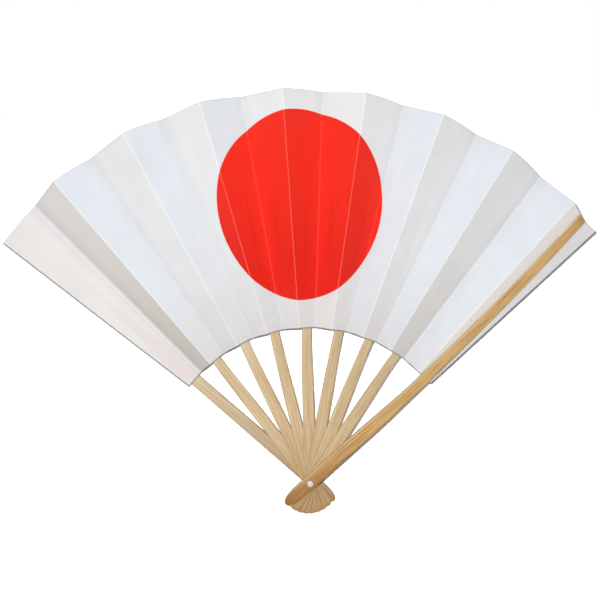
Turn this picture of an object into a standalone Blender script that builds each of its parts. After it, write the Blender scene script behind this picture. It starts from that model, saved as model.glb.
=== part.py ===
# Folding fan, standing open as it lies on a table, front upwards.
# X runs to the right, Y away from the rivet along the middle of the leaf, Z up out of the table.
# The rivet's axis is Z. The origin is the middle of the rivet's flat rear face.
import math

import bmesh
import bpy
from mathutils import Matrix, Quaternion, Vector

mm = 0.001

# Sticks in order from the rear guard to the front guard, turned to the left of Y
open_azimuths_deg = (48.7, 37.3, 25.1, 13.2, 1.1, -10.95, -22.6, -33.95, -45.75)

# Clearances between neighbours
seat_gap = 0.3 * mm
crease_gap = 0.5 * mm
hole_clearance = 0.05 * mm

# Pleated leaf
paper_thickness = 0.25 * mm
leaf_inner_radius = 105.2 * mm
leaf_arc_radius = 254.8 * mm
leaf_arc_right = -6.4 * mm
leaf_arc_forward = 12.0 * mm
panel_spread_deg = 5.85
crease_rise_deg = 4.6
inner_edge_points = 5
outer_edge_points = 9
ruled_rows = 7
ruled_columns = 5

# Inner ribs
rib_thickness = 1.5 * mm
rib_width = 8.2 * mm
rib_leaf_width = 8.0 * mm
rib_tail = 21.2 * mm
rib_tail_rounding = 4.8 * mm
rib_reach = 236 * mm
rib_blade_thickness = 0.5 * mm
rib_blade_tip_width = 1.8 * mm
rib_edge = 0.3 * mm
rib_planed_share = 0.67

# Guards
guard_thickness = 2.6 * mm
guard_leaf_thickness = 1.8 * mm
guard_tip_thickness = 1.3 * mm
front_guard_width = 9.4 * mm
front_guard_leaf_width = 9.3 * mm
rear_guard_width = 8.8 * mm
rear_guard_leaf_width = 8.3 * mm
guard_tip_width = 7.2 * mm
guard_tip_rounding = 1.4 * mm
guard_tail = 21.7 * mm
guard_tail_rounding = 12.5 * mm
guard_reach = 258.2 * mm
guard_edge = 0.6 * mm
guard_crown = 0.45 * mm
front_guard_bow = 2.1 * mm
front_guard_bow_span = 226 * mm
guard_hole_offset = 0.7 * mm

# Where the sticks leave the flat stack and where they have turned to the pleats' slope
turn_start = 30 * mm
turn_end = 98 * mm
rise_start = 45 * mm

# Rivet
rivet_shaft_diameter = 3.0 * mm
rivet_head_diameter = 4.2 * mm
rivet_head_height = 1.3 * mm
rivet_cap_diameter = 5.2 * mm
rivet_cap_height = 1.4 * mm
rivet_cap_floor = 0.6 * mm
rivet_segments = 48
rivet_head_rings = 6

# Worked-out sizes
stick_pitch = rib_thickness + seat_gap
paper_seat = paper_thickness / 2 + seat_gap
rear_guard_bottom = rivet_cap_height + seat_gap
first_rib_bottom = rear_guard_bottom + guard_thickness + seat_gap
rib_count = len(open_azimuths_deg) - 2
front_guard_bottom = first_rib_bottom + rib_count * stick_pitch
front_guard_top = front_guard_bottom + guard_thickness + guard_crown
hole_radius = rivet_shaft_diameter / 2 + hole_clearance

# Places along an end's rounding, and the part of the full width and thickness there
tail_end_shares = (
    (0.0, 0.22, 0.62),
    (0.05, 0.41, 0.72),
    (0.14, 0.57, 0.8),
    (0.27, 0.73, 0.87),
    (0.45, 0.86, 0.94),
    (0.7, 0.955, 0.98),
    (1.0, 1.0, 1.0),
)
tip_end_shares = ((0.0, 0.72, 0.62), (0.25, 0.9, 0.82), (0.6, 0.98, 0.95), (1.0, 1.0, 1.0))


def clear_scene():
    for old in list(bpy.data.objects):
        bpy.data.objects.remove(old, do_unlink=True)


def principled(name, colour, roughness, metallic=0.0):
    material = bpy.data.materials.new(name)
    material.use_nodes = True
    shader = material.node_tree.nodes["Principled BSDF"]
    shader.inputs["Base Color"].default_value = (*colour, 1.0)
    shader.inputs["Roughness"].default_value = roughness
    shader.inputs["Metallic"].default_value = metallic
    return material


def add_object(name, bm, material, parent=None, smooth_deg=None):
    bmesh.ops.recalc_face_normals(bm, faces=bm.faces)
    mesh = bpy.data.meshes.new(name)
    bm.to_mesh(mesh)
    bm.free()
    mesh.materials.append(material)
    if smooth_deg is not None:
        mesh.shade_smooth()
        mesh.set_sharp_from_angle(angle=math.radians(smooth_deg))
    obj = bpy.data.objects.new(name, mesh)
    bpy.context.scene.collection.objects.link(obj)
    obj.parent = parent
    return obj


def add_pivot(name, azimuth_deg):
    pivot = bpy.data.objects.new(name, None)
    pivot.rotation_euler = (0, 0, math.radians(azimuth_deg))
    bpy.context.scene.collection.objects.link(pivot)
    return pivot


def smooth_step(share):
    share = max(0.0, min(1.0, share))
    return share * share * (3 - 2 * share)


def mix(a, b, share):
    return a + (b - a) * share


# Pleat geometry, in a stick's own frame: Y along the stick, X to its right, Z up.
# A panel with a rib lies between the low crease on its right and the high crease on its left.
half_spread = math.radians(panel_spread_deg) / 2
crease_rise = math.radians(crease_rise_deg)
low_crease = Vector((math.sin(half_spread), math.cos(half_spread), 0))
high_crease = Vector(
    (
        -math.sin(half_spread) * math.cos(crease_rise),
        math.cos(half_spread) * math.cos(crease_rise),
        math.sin(crease_rise),
    )
)
panel_angle = low_crease.angle(high_crease)
panel_along = (low_crease + high_crease).normalized()
panel_across = (low_crease - high_crease).normalized()
panel_up = panel_across.cross(panel_along)
panel_turn = Matrix((panel_across, panel_along, panel_up)).transposed().to_quaternion()

# Height of each rib's panel plane on the rivet's axis
rear_leaf_height = rear_guard_bottom + guard_leaf_thickness + paper_seat
first_leaf_height = first_rib_bottom + rib_thickness + paper_seat * panel_up.z - rise_start * panel_along.z


def leaf_height(stick):
    if stick == 0:
        return rear_leaf_height
    return first_leaf_height + (stick - 1) * stick_pitch


def azimuth_turn(stick):
    return Matrix.Rotation(math.radians(open_azimuths_deg[stick]), 3, "Z")


def leaf_reach(direction):
    """Distance from the rivet's axis to the leaf's outer edge, along a flat direction."""
    flat = Vector((direction.x, direction.y)).normalized()
    centre = Vector((leaf_arc_right, leaf_arc_forward))
    along = flat.dot(centre)
    return along + math.sqrt(along * along - centre.length_squared + leaf_arc_radius * leaf_arc_radius)


def creases(stick):
    """Low and high crease directions of a stick's panel, where the fan stands open."""
    turn = azimuth_turn(stick)
    if stick == 0:
        half = panel_angle / 2
        right = Vector((math.sin(half), math.cos(half), 0))
        left = Vector((-math.sin(half), math.cos(half), 0))
        return turn @ right, turn @ left
    return turn @ low_crease, turn @ high_crease


def fan_points(low, high, radius, count, margin):
    """Points across a flat panel at one distance from its apex, clear of both creases by the margin."""
    angle = low.angle(high)
    inset = margin / (radius * angle)
    points = []
    for step in range(count):
        share = mix(inset, 1 - inset, step / (count - 1))
        points.append(low.slerp(high, share))
    return points


def flat_panel(name, stick, material):
    """One leaf panel that is glued to a stick."""
    low, high = creases(stick)
    apex = Vector((0, 0, leaf_height(stick)))
    margin = crease_gap / 2
    up = low.cross(high).normalized()
    inner = fan_points(low, high, leaf_inner_radius, inner_edge_points, margin)
    outer = fan_points(low, high, leaf_arc_radius, outer_edge_points, margin)
    outline = [apex + d * leaf_inner_radius for d in inner]
    outline += [apex + d * leaf_reach(d) for d in reversed(outer)]
    bm = bmesh.new()
    corners = [bm.verts.new(p - up * paper_thickness / 2) for p in outline]
    sheet = bm.faces.new(corners)
    made = bmesh.ops.extrude_face_region(bm, geom=[sheet], use_keep_orig=True)["geom"]
    raised = [v for v in made if isinstance(v, bmesh.types.BMVert)]
    bmesh.ops.translate(bm, verts=raised, vec=up * paper_thickness)
    return add_object(name, bm, material)


def folding_panel(name, stick, material):
    """One leaf panel between two sticks, from the first one's low crease up to the next one's high crease."""
    low = creases(stick)[0]
    high = creases(stick + 1)[1]
    low_apex = Vector((0, 0, leaf_height(stick)))
    high_apex = Vector((0, 0, leaf_height(stick + 1)))
    middle = low.slerp(high, 0.5)
    middle_reach = leaf_reach(middle)

    def place(length_share, width_share):
        radius = mix(leaf_inner_radius, leaf_reach(low.slerp(high, width_share)), length_share)
        return (low_apex + low * radius).lerp(high_apex + high * radius, width_share)

    bm = bmesh.new()
    top, bottom = [], []
    for row in range(ruled_rows):
        length_share = row / (ruled_rows - 1)
        width = mix(leaf_inner_radius, middle_reach, length_share) * low.angle(high)
        inset = crease_gap / 2 / width
        for column in range(ruled_columns):
            width_share = mix(inset, 1 - inset, column / (ruled_columns - 1))
            point = place(length_share, width_share)
            along = place(1, width_share) - place(0, width_share)
            across = place(length_share, 1 - inset) - place(length_share, inset)
            up = across.cross(along).normalized()
            top.append(bm.verts.new(point + up * paper_thickness / 2))
            bottom.append(bm.verts.new(point - up * paper_thickness / 2))

    def cell(side, row, column):
        first = row * ruled_columns + column
        second = first + ruled_columns
        return (side[first], side[first + 1], side[second + 1], side[second])

    for row in range(ruled_rows - 1):
        for column in range(ruled_columns - 1):
            for side in (top, bottom):
                corners = cell(side, row, column)
                bm.faces.new(corners[:3])
                bm.faces.new((corners[0], corners[2], corners[3]))
    last = (ruled_rows - 1) * ruled_columns
    ends = [list(range(ruled_columns)), list(range(last, last + ruled_columns))]
    sides = [
        [row * ruled_columns + column for row in range(ruled_rows)]
        for column in (0, ruled_columns - 1)
    ]
    for border in ends + sides:
        for first, second in zip(border, border[1:]):
            bm.faces.new((top[first], top[second], bottom[second], bottom[first]))
    return add_object(name, bm, material)


def bar_section(width, thickness, edge, crown, rise):
    """Outline of a stick across its length, from its seat face at height 0 towards rise, 1 up or -1 down."""
    half = width / 2
    edge = min(edge, thickness / 3, half / 2)
    outline = [
        (-half + edge, 0),
        (half - edge, 0),
        (half, edge),
        (half, thickness - edge),
        (half - edge, thickness),
        (0, thickness + crown),
        (-half + edge, thickness),
        (-half, thickness - edge),
        (-half, edge),
    ]
    return [(x, z * rise) for x, z in outline]


def stick_profile(tail, reach, middle, tail_length, tip_length):
    """Stations along a stick as (place, width, thickness), with rounded ends. Middle holds the plain stretch."""
    first = middle[0]
    last = middle[-1]
    stations = []
    for share, wide, thick in tail_end_shares[:-1]:
        stations.append((-tail + share * tail_length, first[1] * wide, first[2] * thick))
    stations.append((-tail + tail_length, first[1], first[2]))
    stations += [station for station in middle if -tail + tail_length < station[0] < reach - tip_length]
    stations.append((reach - tip_length, last[1], last[2]))
    for share, wide, thick in reversed(tip_end_shares[:-1]):
        stations.append((reach - share * tip_length, last[1] * wide, last[2] * thick))
    return stations


def bow_at(place, bow, span):
    """Sideways bow of a stick, zero at the rivet and at the span's end."""
    return 4 * bow * (place / span) * (1 - place / span)


def hole_shift(place, offset):
    """How far a guard's middle lies beside its own line: the rivet hole is off its middle."""
    return offset * (1 - smooth_step(place / turn_end))


def loft(name, rings, material, parent):
    """One closed solid through outlines that have the same number of points."""
    bm = bmesh.new()
    outlines = [[bm.verts.new(point) for point in ring] for ring in rings]
    for near, far in zip(outlines, outlines[1:]):
        for corner in range(len(near)):
            following = (corner + 1) % len(near)
            bm.faces.new((near[corner], near[following], far[following], far[corner]))
    bm.faces.new(outlines[0])
    bm.faces.new(outlines[-1])
    return add_object(name, bm, material, parent, smooth_deg=35)


def turned_stick(name, stick, stations, seat_height, rise, edge, crown, material, parent, bow=0.0, offset=0.0):
    """A stick whose seat face is level at the rivet and turns to the slope of its panel."""
    apex = Vector((0, 0, leaf_height(stick)))
    level = Quaternion((1, 0, 0, 0))
    widest = max(width for _, width, _ in stations)
    rings = []
    for place, width, thickness in stations:
        share = smooth_step((place - turn_start) / (turn_end - turn_start))
        sideways = bow_at(place, bow, front_guard_bow_span) + hole_shift(place, offset)
        flat = Vector((sideways, place, seat_height))
        seated = apex + panel_along * place + panel_across * sideways + panel_up * paper_seat * rise
        centre = flat.lerp(seated, share)
        turn = level.slerp(panel_turn, share)
        section = bar_section(width, thickness, edge, crown * width / widest, rise)
        rings.append([centre + turn @ Vector((x, 0, z)) for x, z in section])
    return loft(name, rings, material, parent)


def level_guard(name, stations, bottom, edge, offset, material, parent):
    """The rear guard, level along its skin side and planed thinner on its inner face."""
    rings = []
    for place, width, thickness in stations:
        section = bar_section(width, thickness, edge, 0.0, 1)
        shift = hole_shift(place, offset)
        rings.append([Vector((x + shift, place, bottom + z)) for x, z in section])
    return loft(name, rings, material, parent)


def rib_stations():
    """An inner rib: full thickness at the rivet, planed down to a thin tapering blade under the paper."""
    steps = 11
    blade_steps = 7
    planed = rib_thickness * rib_planed_share
    middle = [(-rib_tail / 3, rib_width, rib_thickness), (rib_tail / 3, rib_width, rib_thickness)]
    for step in range(1, steps + 1):
        share = step / (steps + 1)
        place = mix(rib_tail / 3, turn_end, share)
        width = mix(rib_width, rib_leaf_width, share)
        middle.append((place, width, mix(rib_thickness, planed, smooth_step(share))))
    middle.append((turn_end, rib_leaf_width, planed))
    middle.append((leaf_inner_radius - 2 * seat_gap, rib_leaf_width, rib_blade_thickness))
    for step in range(1, blade_steps + 1):
        share = step / blade_steps
        place = mix(leaf_inner_radius, rib_reach, share)
        middle.append((place, mix(rib_leaf_width, rib_blade_tip_width, share), rib_blade_thickness))
    return stick_profile(rib_tail, rib_reach, middle, rib_tail_rounding, rib_blade_tip_width / 2)


def guard_stations(full_width, leaf_width):
    """A guard: thick and wide at the rivet, thinner and narrower to its end."""
    steps = 11
    leaf_steps = 8
    middle = [(-guard_tail / 3, full_width, guard_thickness), (guard_tail / 3, full_width, guard_thickness)]
    for step in range(1, steps + 1):
        share = step / (steps + 1)
        place = mix(guard_tail / 3, turn_end, share)
        width = mix(full_width, leaf_width, share)
        middle.append((place, width, mix(guard_thickness, guard_leaf_thickness, smooth_step(share))))
    middle.append((turn_end, leaf_width, guard_leaf_thickness))
    for step in range(1, leaf_steps + 1):
        share = step / leaf_steps
        place = mix(turn_end, guard_reach, share)
        width = mix(leaf_width, guard_tip_width, share)
        middle.append((place, width, mix(guard_leaf_thickness, guard_tip_thickness, share)))
    return stick_profile(guard_tail, guard_reach, middle, guard_tail_rounding, guard_tip_rounding)


def lathe(name, profile, material, parent=None):
    """A turned piece from its (radius, height) profile, which starts and ends on the axis."""
    bm = bmesh.new()
    verts = [bm.verts.new((radius, 0, height)) for radius, height in profile]
    edges = [bm.edges.new(pair) for pair in zip(verts, verts[1:])]
    bmesh.ops.spin(
        bm, geom=verts + edges, cent=(0, 0, 0), axis=(0, 0, 1), angle=math.tau, steps=rivet_segments,
        use_merge=True,
    )
    bmesh.ops.remove_doubles(bm, verts=bm.verts, dist=hole_clearance / 100)
    bmesh.ops.dissolve_degenerate(bm, edges=bm.edges, dist=hole_clearance / 100)
    return add_object(name, bm, material, parent, smooth_deg=40)


def add_hole_cutter():
    bm = bmesh.new()
    depth = front_guard_top + rear_guard_bottom
    bmesh.ops.create_cone(
        bm, cap_ends=True, segments=rivet_segments, radius1=hole_radius, radius2=hole_radius, depth=depth,
    )
    bmesh.ops.translate(bm, verts=bm.verts, vec=(0, 0, depth / 2))
    mesh = bpy.data.meshes.new("rivet_hole_cutter")
    bm.to_mesh(mesh)
    bm.free()
    cutter = bpy.data.objects.new("rivet_hole_cutter", mesh)
    bpy.context.scene.collection.objects.link(cutter)
    cutter.hide_render = True
    cutter.display_type = "WIRE"
    return cutter


def drill(stick_object, cutter):
    hole = stick_object.modifiers.new("rivet hole", "BOOLEAN")
    hole.operation = "DIFFERENCE"
    hole.solver = "EXACT"
    hole.object = cutter


def make_rivet(material):
    shaft = rivet_shaft_diameter / 2
    head = rivet_head_diameter / 2
    seat = front_guard_top + seat_gap
    foot = rivet_cap_floor + seat_gap
    profile = [(0, foot), (shaft, foot), (shaft, seat), (head, seat)]
    rim = rivet_head_height / 3
    for step in range(rivet_head_rings + 1):
        angle = math.pi / 2 * step / rivet_head_rings
        height = seat + rim + (rivet_head_height - rim) * math.sin(angle)
        profile.append((head * math.cos(angle), height))
    profile[-1] = (0, seat + rivet_head_height)
    lathe("rivet_pin", profile, material)
    cap = rivet_cap_diameter / 2
    bore = shaft + hole_clearance
    bevel = (rivet_cap_height - rivet_cap_floor) / 3
    cap_profile = [
        (0, 0),
        (cap - bevel, 0),
        (cap, bevel),
        (cap, rivet_cap_height),
        (bore, rivet_cap_height),
        (bore, rivet_cap_floor),
        (0, rivet_cap_floor),
    ]
    lathe("rivet_cap", cap_profile, material)


def build_fan():
    clear_scene()
    bamboo = principled("bamboo", (0.66, 0.49, 0.27), 0.55)
    skin = principled("bamboo skin", (0.53, 0.29, 0.09), 0.42)
    paper = principled("white paper", (0.86, 0.86, 0.85), 0.85)
    plastic = principled("white plastic", (0.85, 0.85, 0.83), 0.35)
    cutter = add_hole_cutter()
    front = len(open_azimuths_deg) - 1
    pivots = [add_pivot(f"stick_pivot_{stick}", azimuth) for stick, azimuth in enumerate(open_azimuths_deg)]

    rear = level_guard(
        "rear_guard", guard_stations(rear_guard_width, rear_guard_leaf_width), rear_guard_bottom,
        guard_edge, guard_hole_offset, bamboo, pivots[0],
    )
    drill(rear, cutter)
    for stick in range(1, front):
        seat = first_rib_bottom + (stick - 1) * stick_pitch + rib_thickness
        rib = turned_stick(
            f"rib_{stick}", stick, rib_stations(), seat, -1, rib_edge, 0.0, bamboo, pivots[stick]
        )
        drill(rib, cutter)
    top_guard = turned_stick(
        "front_guard", front, guard_stations(front_guard_width, front_guard_leaf_width),
        front_guard_bottom, 1, guard_edge, guard_crown, skin, pivots[front], front_guard_bow,
        -guard_hole_offset,
    )
    drill(top_guard, cutter)

    for stick in range(front + 1):
        flat_panel(f"leaf_{2 * stick + 1:02d}", stick, paper)
    for stick in range(front):
        folding_panel(f"leaf_{2 * stick + 2:02d}", stick, paper)
    make_rivet(plastic)


build_fan()
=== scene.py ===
import math

import bmesh
import bpy
from mathutils import Matrix, Vector


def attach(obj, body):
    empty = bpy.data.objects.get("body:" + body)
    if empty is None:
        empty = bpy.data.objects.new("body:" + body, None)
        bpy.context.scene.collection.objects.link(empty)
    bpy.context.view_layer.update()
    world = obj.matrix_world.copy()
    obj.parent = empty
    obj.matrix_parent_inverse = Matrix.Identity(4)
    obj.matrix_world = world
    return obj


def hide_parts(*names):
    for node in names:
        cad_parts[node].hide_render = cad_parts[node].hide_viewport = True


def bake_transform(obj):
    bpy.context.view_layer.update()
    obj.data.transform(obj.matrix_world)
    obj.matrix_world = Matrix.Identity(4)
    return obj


# Folding fan: a pleated white paper leaf with a red disc, on nine bamboo sticks, open on a white table.
# Lengths are in metres. Y runs from the rivet up the middle of the leaf, Z up towards the viewer.

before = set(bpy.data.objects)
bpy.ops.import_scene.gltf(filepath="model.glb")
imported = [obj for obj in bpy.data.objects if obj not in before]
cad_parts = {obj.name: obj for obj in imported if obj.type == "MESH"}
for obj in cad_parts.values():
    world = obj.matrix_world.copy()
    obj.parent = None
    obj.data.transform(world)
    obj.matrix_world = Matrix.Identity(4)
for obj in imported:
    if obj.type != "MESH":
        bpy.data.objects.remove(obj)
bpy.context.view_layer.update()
print("frame loaded")

# What all pieces share. Sticks are counted from the rear guard, 0, to the front guard, 8.
fan = {
    "azimuths": (48.7, 37.3, 25.1, 13.2, 1.1, -10.95, -22.6, -33.95, -45.75),  # degrees to the left of Y
    "halfSpread": 2.925,       # degrees, half a glued panel as seen from above
    "creaseRise": 4.6,         # degrees that each mountain fold climbs towards the rim
    "rearHeight": 0.003925,    # the rear panel's plane on the rivet's axis
    "firstHeight": 0.004625,   # the same for the first rib's panel
    "pitch": 0.0018,           # from one stick to the next on the rivet
    "paperSeat": 0.000425,     # from a stick's seat face to the middle of the paper
}
frontStick = len(fan["azimuths"]) - 1


def deselectAll():
    if bpy.context.object and bpy.context.object.mode == "EDIT":
        bpy.ops.object.mode_set(mode="OBJECT")
    bpy.ops.object.select_all(action="DESELECT")


def makeActive(piece):
    deselectAll()
    piece.select_set(True)
    bpy.context.view_layer.objects.active = piece


def turnSelection(angle, axis, centre):
    # the operator turns the other way when no window is open
    bpy.ops.transform.rotate(value=-angle, orient_axis=axis, orient_type="GLOBAL", center_override=centre)


def pick(piece, parts, wanted):
    # selects those of the mesh's verts, edges or faces that are wanted
    mesh = bmesh.from_edit_mesh(piece.data)
    for part in getattr(mesh, parts):
        part.select_set(bool(wanted(part)))
    mesh.select_flush_mode()
    bmesh.update_edit_mesh(piece.data)


def linearColour(code):
    channels = [int(code[place:place + 2], 16) / 255 for place in (1, 3, 5)]
    return tuple(c / 12.92 if c <= 0.04045 else ((c + 0.055) / 1.055) ** 2.4 for c in channels) + (1.0,)


def addNode(tree, kind, settings=None, links=None):
    # settings are the node's own or the values of its sockets: a colour is its hex code, and "From" and "To" give
    # both ends of a range; a link comes from an output, or from a whole node's first output in use
    node = tree.nodes.new("ShaderNode" + kind)
    for name, value in (settings or {}).items():
        if name in ("From", "To"):
            node.inputs[name + " Min"].default_value, node.inputs[name + " Max"].default_value = value
        elif isinstance(name, str) and hasattr(node, name):
            setattr(node, name, value)
        else:
            node.inputs[name].default_value = linearColour(value) if isinstance(value, str) else value
    for name, source in (links or {}).items():
        if hasattr(source, "outputs"):
            source = next(output for output in source.outputs if output.enabled)
        tree.links.new(source, node.inputs[name])
    return node


# settings that many nodes share: a range that eases in and out, a mix of two colours, a colour tinted by another
smooth = {"interpolation_type": "SMOOTHSTEP"}
blended = {"data_type": "RGBA"}
stained = {**blended, "blend_type": "MULTIPLY"}


def newMaterial(name):
    material = bpy.data.materials.new(name)
    material.use_nodes = True
    material.node_tree.nodes.clear()
    return material, material.node_tree


# Camera, straight above the leaf as in the photograph
cameraView = {"place": (-0.0069, 0.1242), "height": 0.850, "field": 0.4152, "sensor": 36}
bpy.ops.object.camera_add(location=(*cameraView["place"], cameraView["height"]))
camera = bpy.context.object
camera.name = "camera"
camera.data.sensor_width = cameraView["sensor"]
camera.data.lens = cameraView["sensor"] * cameraView["height"] / cameraView["field"]
bpy.context.scene.camera = camera
bpy.context.scene.view_settings.view_transform = "Standard"

# Table and light: white all round, a small lamp just to the upper left of the camera, which draws the thin
# dark lines along the right and lower edges, and a wide soft one beyond the middle of the leaf
table = {
    "size": 8.0, "drop": 0.0002, "colour": "#F2F2F2",
    "seenWhite": 1.65,               # how far the camera over-exposes it
    "plain": (0.27, 0.33),           # beyond this distance it has no shadows to the camera
}
lights = {
    "besideCamera": {"place": (-0.052, 0.159, 0.86), "size": 0.03, "power": 5.2},
    "overhead": {"place": (-0.12, 0.28, 0.42), "size": 0.25, "power": 0.20},
    "aim": (0, 0.12, 0),
    "zenith": 0.05, "horizon": 0.75,
}


def makeTable():
    deselectAll()
    bpy.ops.mesh.primitive_plane_add(size=table["size"], location=(0, 0, -table["drop"]))
    floor = bpy.context.object
    floor.name = "tableTop"
    bpy.ops.object.transform_apply(location=True)
    material, tree = newMaterial("whiteTable")
    diffuse = addNode(tree, "BsdfDiffuse", {"Color": table["colour"]})
    white = addNode(tree, "BsdfDiffuse", {"Color": (*(table["seenWhite"],) * 3, 1.0)})
    # far from the fan the table is plain white to the camera
    place = addNode(tree, "TexCoord").outputs["Object"]
    away = addNode(tree, "VectorMath", {"operation": "LENGTH"}, {0: place})
    far = addNode(tree, "MapRange", {**smooth, "From": table["plain"]}, {"Value": away})
    plain = addNode(tree, "Emission", {"Color": "#FFFFFF"})
    pale = addNode(tree, "MixShader", None, {0: far, 1: white, 2: plain})
    # the camera and mirrors see the table over-exposed to white, shadows and all; the fan gets its plain light
    path = addNode(tree, "LightPath").outputs
    seen = addNode(tree, "Math", {"operation": "MAXIMUM"}, {0: path["Is Camera Ray"], 1: path["Is Glossy Ray"]})
    shown = addNode(tree, "MixShader", None, {0: seen, 1: diffuse, 2: pale})
    addNode(tree, "OutputMaterial", None, {"Surface": shown})
    floor.data.materials.append(material)


def makeLights():
    for name in ("besideCamera", "overhead"):
        lamp = lights[name]
        bpy.ops.object.light_add(type="AREA", location=lamp["place"])
        light = bpy.context.object
        light.name = name
        light.data.shape = "DISK"
        light.data.size = lamp["size"]
        light.data.energy = lamp["power"]
        aim = Vector(lights["aim"]) - Vector(lamp["place"])
        light.rotation_euler = aim.to_track_quat("-Z", "Y").to_euler()
    world = bpy.data.worlds.new("studio")
    bpy.context.scene.world = world
    world.use_nodes = True
    tree = world.node_tree
    tree.nodes.clear()
    # a light tent: its walls are brighter than its roof, so that the sides of the fan aren't dark
    direction = addNode(tree, "TexCoord").outputs["Generated"]
    upwards = addNode(tree, "SeparateXYZ", None, {0: direction}).outputs[2]
    low = addNode(tree, "Math", {"operation": "SUBTRACT", "use_clamp": True, 0: 1.0}, {1: upwards})
    wall = addNode(tree, "Math", {"operation": "POWER", 1: 2.0}, {0: low})
    tent = addNode(tree, "MapRange", {"To": (lights["zenith"], lights["horizon"])}, {"Value": wall})
    seen = addNode(tree, "LightPath").outputs["Is Camera Ray"]
    strength = addNode(tree, "MapRange", None, {"Value": seen, "To Min": tent})
    sky = addNode(tree, "Background", {"Color": "#FFFFFF"}, {"Strength": strength})
    addNode(tree, "OutputWorld", None, {"Surface": sky})


makeTable()
makeLights()
print("table, lights and camera made")

# Pleated leaf: one folded sheet of washi, cut along its creases into its panels; each glued panel rides on its
# stick
leaf = {
    "inner": 0.1052, "arcRadius": 0.2548, "arcCentre": (-0.0064, 0.012),
    "thickness": 0.00025, "rows": 14, "gluedColumns": 4, "foldingColumns": 2, "smoothAngle": 28,
    "ridge": 0.00035,          # half the width of the flattened mountain folds
    "onFold": 1e-4,            # radians within which an edge counts as lying on a fold
    "wave": 0.0007, "waveLength": 0.03,
    "gluedWave": 0.45,         # a glued panel waves less, and only half way between its rib and its folds
    "halfWay": (0.1, 0.4),     # shares of the panel's width from its middle that count as half way
    "rimRow": 0.007,           # picks the rim alone: less than one row of the sheet
    "lastTurn": 1.15,          # degrees that the front guard has turned the last panel about its outer end
    "lastFlare": 0.65,         # degrees more at the end of the sheet
    # share across the last panel, from the end of the sheet to the fold: how far its rim is drawn in there
    "lastRim": {1.0: 0.0, 0.75: 0.0018, 0.5: 0.0027, 0.25: 0.0019, 0.0: 0.0008},
}
halfSpread = math.radians(fan["halfSpread"])
creaseRise = math.radians(fan["creaseRise"])
lowCrease = Vector((math.sin(halfSpread), math.cos(halfSpread), 0))
highCrease = Vector((-math.sin(halfSpread) * math.cos(creaseRise),
                     math.cos(halfSpread) * math.cos(creaseRise), math.sin(creaseRise)))
panelAngle = lowCrease.angle(highCrease)
panelAlong = (lowCrease + highCrease).normalized()
panelAcross = (lowCrease - highCrease).normalized()
panelUp = panelAcross.cross(panelAlong)
panelRoll = math.asin(-panelAcross.z)
panelClimb = math.asin(panelAlong.z)


def panelHeight(stick):
    return fan["rearHeight"] if stick == 0 else fan["firstHeight"] + (stick - 1) * fan["pitch"]


def stickCreases(stick):
    turn = Matrix.Rotation(math.radians(fan["azimuths"][stick]), 3, "Z")
    if stick == 0:
        half = panelAngle / 2
        right = Vector((math.sin(half), math.cos(half), 0))
        left = Vector((-math.sin(half), math.cos(half), 0))
        return turn @ right, turn @ left
    return turn @ lowCrease, turn @ highCrease


def flatAzimuth(point):
    return math.atan2(-point.x, point.y)


def rimReach(direction):
    flat = direction.xy.normalized()
    centre = Vector(leaf["arcCentre"])
    along = flat.dot(centre)
    return along + math.sqrt(along * along - centre.length_squared + leaf["arcRadius"] ** 2)


def sheetLines():
    # straight lines across the sheet from its left end: the creases, and some between them
    lines = []
    unfolded = 0.0

    def addLine(direction, height, scale, panel):
        lines.append({
            "azimuth": flatAzimuth(direction), "rise": math.asin(direction.z),
            "height": height, "inner": leaf["inner"] * scale, "outer": rimReach(direction) * scale,
            "unfolded": unfolded, "panel": panel,
        })

    for stick in range(frontStick + 1):
        low, high = stickCreases(stick)
        columns = leaf["gluedColumns"]
        for column in range(columns + 1):
            if column:
                unfolded += panelAngle / columns
            addLine(high.slerp(low, column / columns), panelHeight(stick), 1.0, 2 * stick + 1)
        if stick < frontStick:
            nextHigh = stickCreases(stick + 1)[1]
            angle = low.angle(nextHigh)
            columns = leaf["foldingColumns"]
            for column in range(1, columns):
                share = column / columns
                unfolded += angle / columns
                chord = low.lerp(nextHigh, share)
                height = panelHeight(stick) + fan["pitch"] * share
                if stick == 0:
                    height = panelHeight(0) + (panelHeight(1) - panelHeight(0)) * share
                addLine(chord.normalized(), height, chord.length, 2 * stick + 2)
            unfolded += angle / columns
    return lines


def moveLine(old, new):
    # the new edge starts on the old one: swing it to Y, set its slope and ends, swing it out again
    turnSelection(-old["azimuth"], "Z", (0, 0, 0))
    turnSelection(new["rise"] - old["rise"], "X", (0, 0, old["height"]))
    run, climb = math.cos(new["rise"]), math.sin(new["rise"])
    stretch = (new["outer"] - new["inner"]) / (old["outer"] - old["inner"])
    bpy.ops.transform.resize(value=(stretch,) * 3,
                             center_override=(0, run * old["inner"], old["height"] + climb * old["inner"]))
    shift = new["inner"] - old["inner"]
    bpy.ops.transform.translate(value=(0, run * shift, climb * shift + new["height"] - old["height"]))
    turnSelection(new["azimuth"], "Z", (0, 0, 0))


def panelSpans(lines):
    # each panel's two creases, as unfolded angles and as azimuths
    spans = {}
    for left, right in zip(lines, lines[1:]):
        panel = left["panel"] if left["panel"] == right["panel"] or left["panel"] % 2 == 0 else left["panel"] + 1
        span = spans.setdefault(panel, {"from": left["unfolded"], "left": left["azimuth"]})
        span["to"], span["right"] = right["unfolded"], right["azimuth"]
    return spans


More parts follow.
